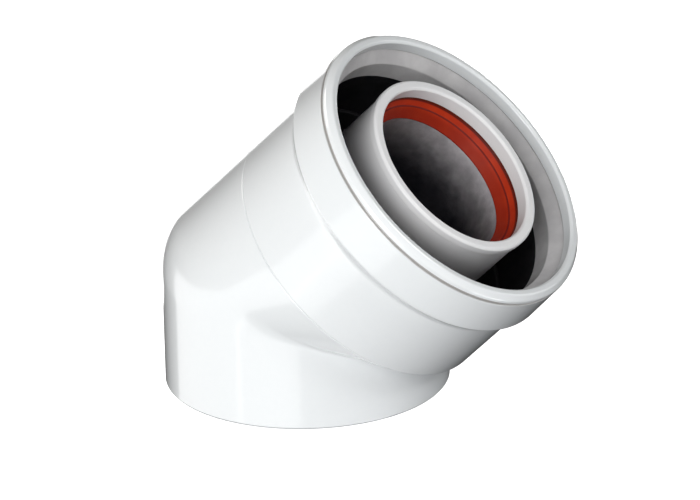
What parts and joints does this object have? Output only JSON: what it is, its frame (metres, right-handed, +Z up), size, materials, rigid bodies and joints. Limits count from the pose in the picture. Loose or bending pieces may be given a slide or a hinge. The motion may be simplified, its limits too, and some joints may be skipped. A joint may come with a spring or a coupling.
{
  "type": "concentric flue elbow",
  "caption": "45 degree male to female elbow of a 60/100 mm concentric boiler flue: a flue duct held inside an air duct, with a lip seal in each socket.",
  "frame": {"origin": "centre of the air duct's spigot end", "axes": "+Z up the spigot axis; the socket leans 45 degrees towards +X; the XZ plane halves the elbow"},
  "size_m": [0.1479, 0.1116, 0.1263],
  "materials": {
    "white_enamel": "gloss",
    "white_plastic": "satin",
    "grey_seal": "matte",
    "red_silicone": "satin",
    "raw_aluminium": "satin",
    "spring_steel": "satin",
    "rivet_aluminium": "satin"
  },
  "bodies": {
    "root": {"outer_bend": "white_enamel", "outer_socket": "white_enamel", "outer_socket_seal": "grey_seal", "inner_bend": "raw_aluminium", "inner_socket": "white_plastic", "inner_socket_seal": "red_silicone", "rear_spacer_band": "spring_steel", "rear_spacer_leg_1": "spring_steel", "rear_spacer_leg_2": "spring_steel", "rear_spacer_leg_3": "spring_steel", "rear_spacer_rivets": "rivet_aluminium", "front_spacer_band": "spring_steel", "front_spacer_leg_1": "spring_steel", "front_spacer_leg_2": "spring_steel", "front_spacer_leg_3": "spring_steel", "front_spacer_rivets": "rivet_aluminium"}
  },
  "joints": []
}
